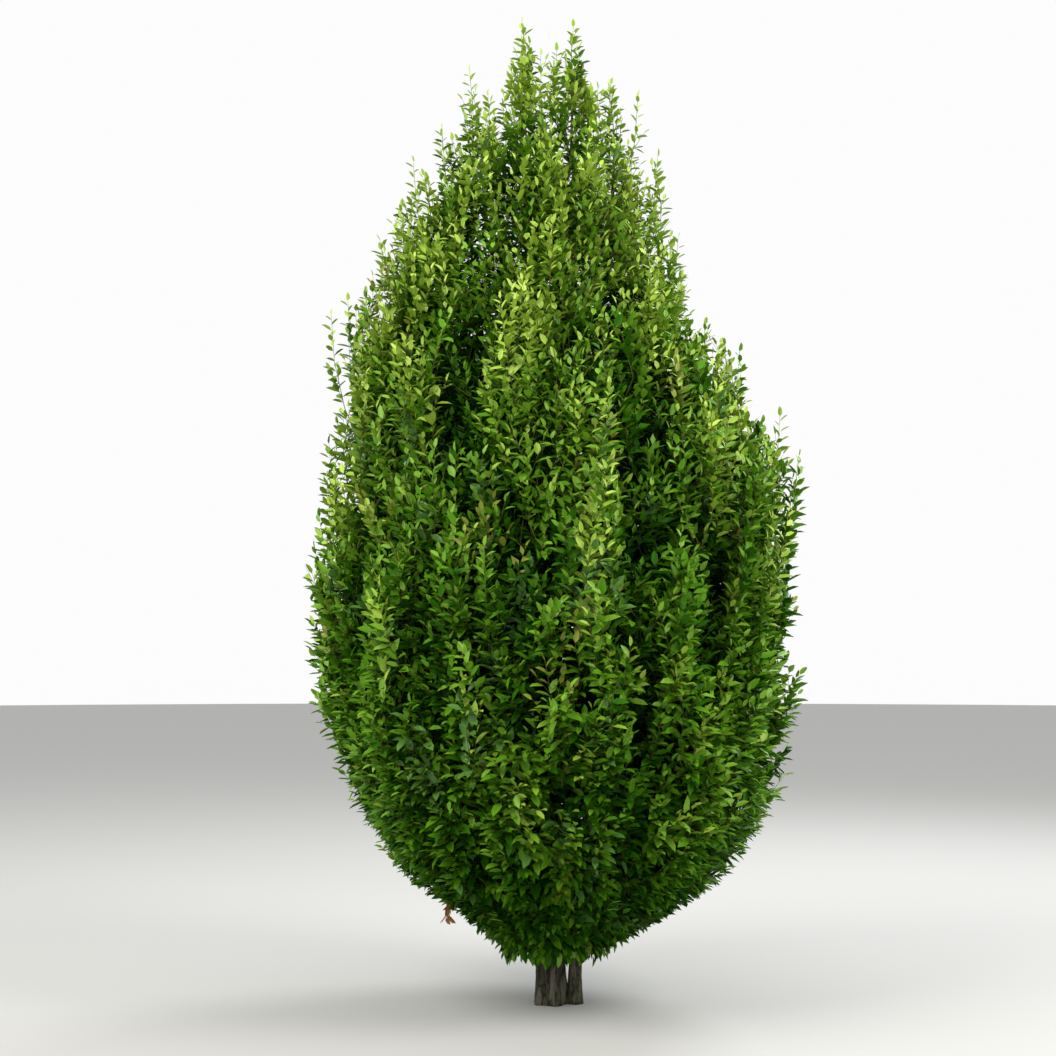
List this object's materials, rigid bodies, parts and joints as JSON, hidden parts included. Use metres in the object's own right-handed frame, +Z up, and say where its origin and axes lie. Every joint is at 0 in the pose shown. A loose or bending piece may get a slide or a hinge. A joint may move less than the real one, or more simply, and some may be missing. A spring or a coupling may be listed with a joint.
{
  "type": "upright hornbeam tree",
  "caption": "Egg-shaped upright hornbeam, leafy almost to its foot: a short trunk with a lesser stem beside it, steep boughs, and masses of foliage ending in pointed leaders.",
  "frame": {"origin": "middle of the trunk's flat cut at ground level", "axes": "+Z up, +X to the right of the pictured view, +Y away from the viewer"},
  "size_m": [2.3477, 2.3378, 4.7478],
  "materials": {
    "bark": "rough grey-brown bark with shallow fissures",
    "foliage": "fresh green leaves, slightly glossy above"
  },
  "bodies": {
    "root": {"trunk": "bark", "second_stem": "bark", "low_bough_1": "bark", "low_bough_2": "bark", "low_bough_3": "bark", "low_bough_4": "bark", "low_bough_5": "bark", "low_bough_6": "bark", "low_bough_7": "bark", "low_bough_8": "bark", "middle_bough_2": "bark", "middle_bough_3": "bark", "middle_bough_4": "bark", "middle_bough_5": "bark", "middle_bough_6": "bark", "middle_bough_7": "bark", "middle_bough_8": "bark", "high_bough_1": "bark", "high_bough_2": "bark", "high_bough_3": "bark", "high_bough_4": "bark", "high_bough_5": "bark", "high_bough_6": "bark", "skirt_foliage_1": "foliage", "skirt_foliage_2": "foliage", "skirt_foliage_3": "foliage", "skirt_foliage_4": "foliage", "skirt_foliage_5": "foliage", "skirt_foliage_6": "foliage", "skirt_foliage_7": "foliage", "low_foliage_1": "foliage", "low_foliage_2": "foliage", "low_foliage_3": "foliage", "low_foliage_4": "foliage", "low_foliage_5": "foliage", "low_foliage_6": "foliage", "low_foliage_7": "foliage", "low_foliage_8": "foliage", "middle_foliage_1": "foliage", "middle_foliage_2": "foliage", "middle_foliage_3": "foliage", "middle_foliage_4": "foliage", "middle_foliage_5": "foliage", "middle_foliage_6": "foliage", "middle_foliage_7": "foliage", "middle_foliage_8": "foliage", "high_foliage_1": "foliage", "high_foliage_2": "foliage", "high_foliage_3": "foliage", "high_foliage_4": "foliage", "high_foliage_5": "foliage", "high_foliage_6": "foliage", "shoulder_foliage_1": "foliage", "shoulder_foliage_2": "foliage", "shoulder_foliage_3": "foliage", "shoulder_foliage_4": "foliage", "leader_foliage": "foliage", "second_leader_foliage": "foliage", "third_leader_foliage": "foliage", "fourth_leader_foliage": "foliage"}
  },
  "joints": []
}
